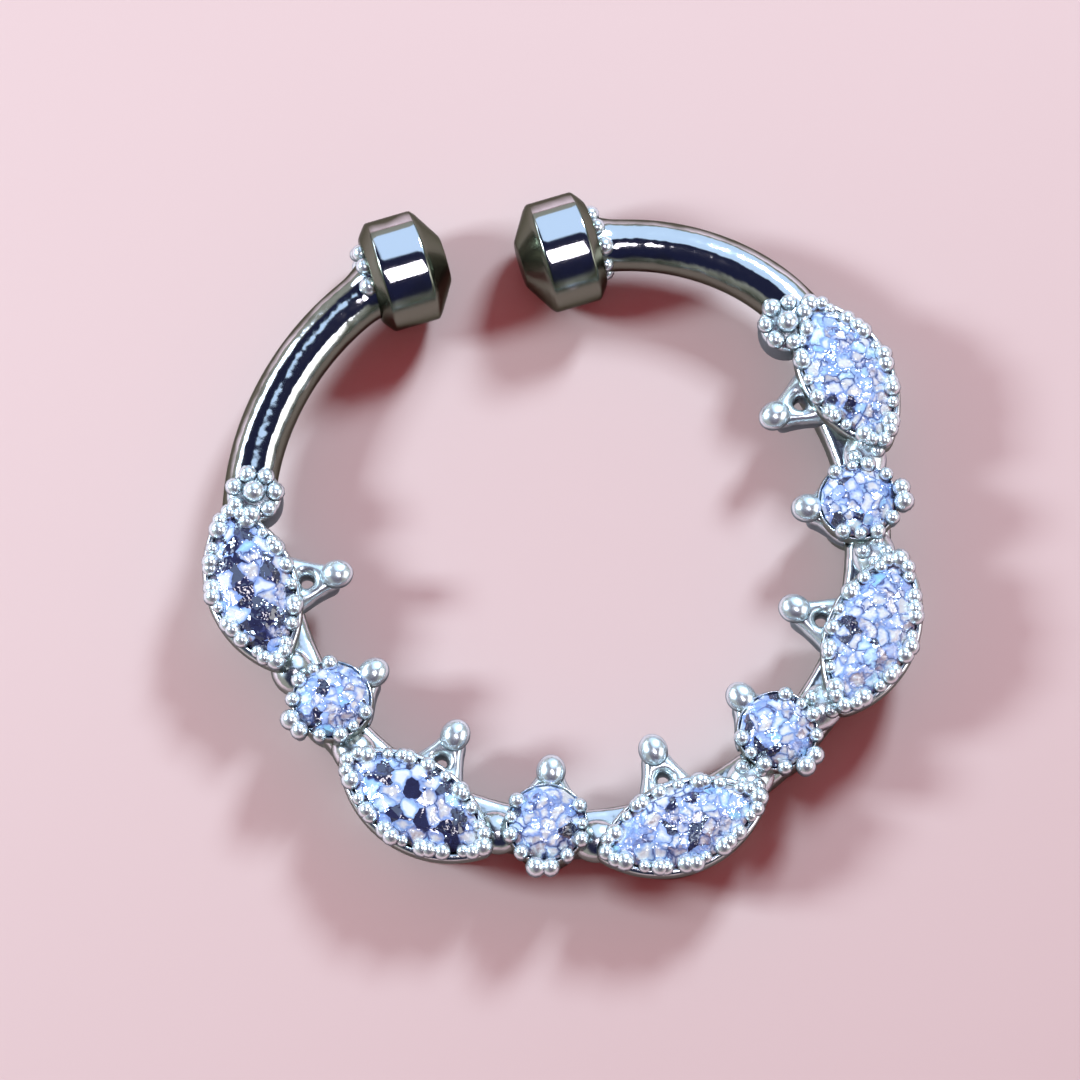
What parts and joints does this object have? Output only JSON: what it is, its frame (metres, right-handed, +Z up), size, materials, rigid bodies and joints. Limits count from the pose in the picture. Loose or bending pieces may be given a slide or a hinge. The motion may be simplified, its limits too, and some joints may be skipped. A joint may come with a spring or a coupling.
{
  "type": "nose ring",
  "caption": "Clip-on nose ring: an open polished metal hoop with alternating marquise and round clear stones, ball-tipped claws and a drum cap on each end.",
  "frame": {"origin": "middle of the bounding box's bottom face; the ring lies flat on its settings' feet and its caps", "axes": "+Z up, along the hoop's axis and the way the stones face; the mouth between the caps opens towards +Y; the caps' axes lie along X"},
  "size_m": [0.0138, 0.014, 0.0022],
  "materials": {
    "metal": "bright silver-tone plating, polished",
    "stone": "clear faceted cubic zirconia with a cool white sparkle"
  },
  "bodies": {
    "root": {"hoop": "metal", "marquise_stone_1": "stone", "marquise_stone_2": "stone", "marquise_stone_3": "stone", "marquise_stone_4": "stone", "marquise_stone_5": "stone", "round_stone_1": "stone", "round_stone_2": "stone", "round_stone_3": "stone", "round_stone_4": "stone"}
  },
  "joints": []
}
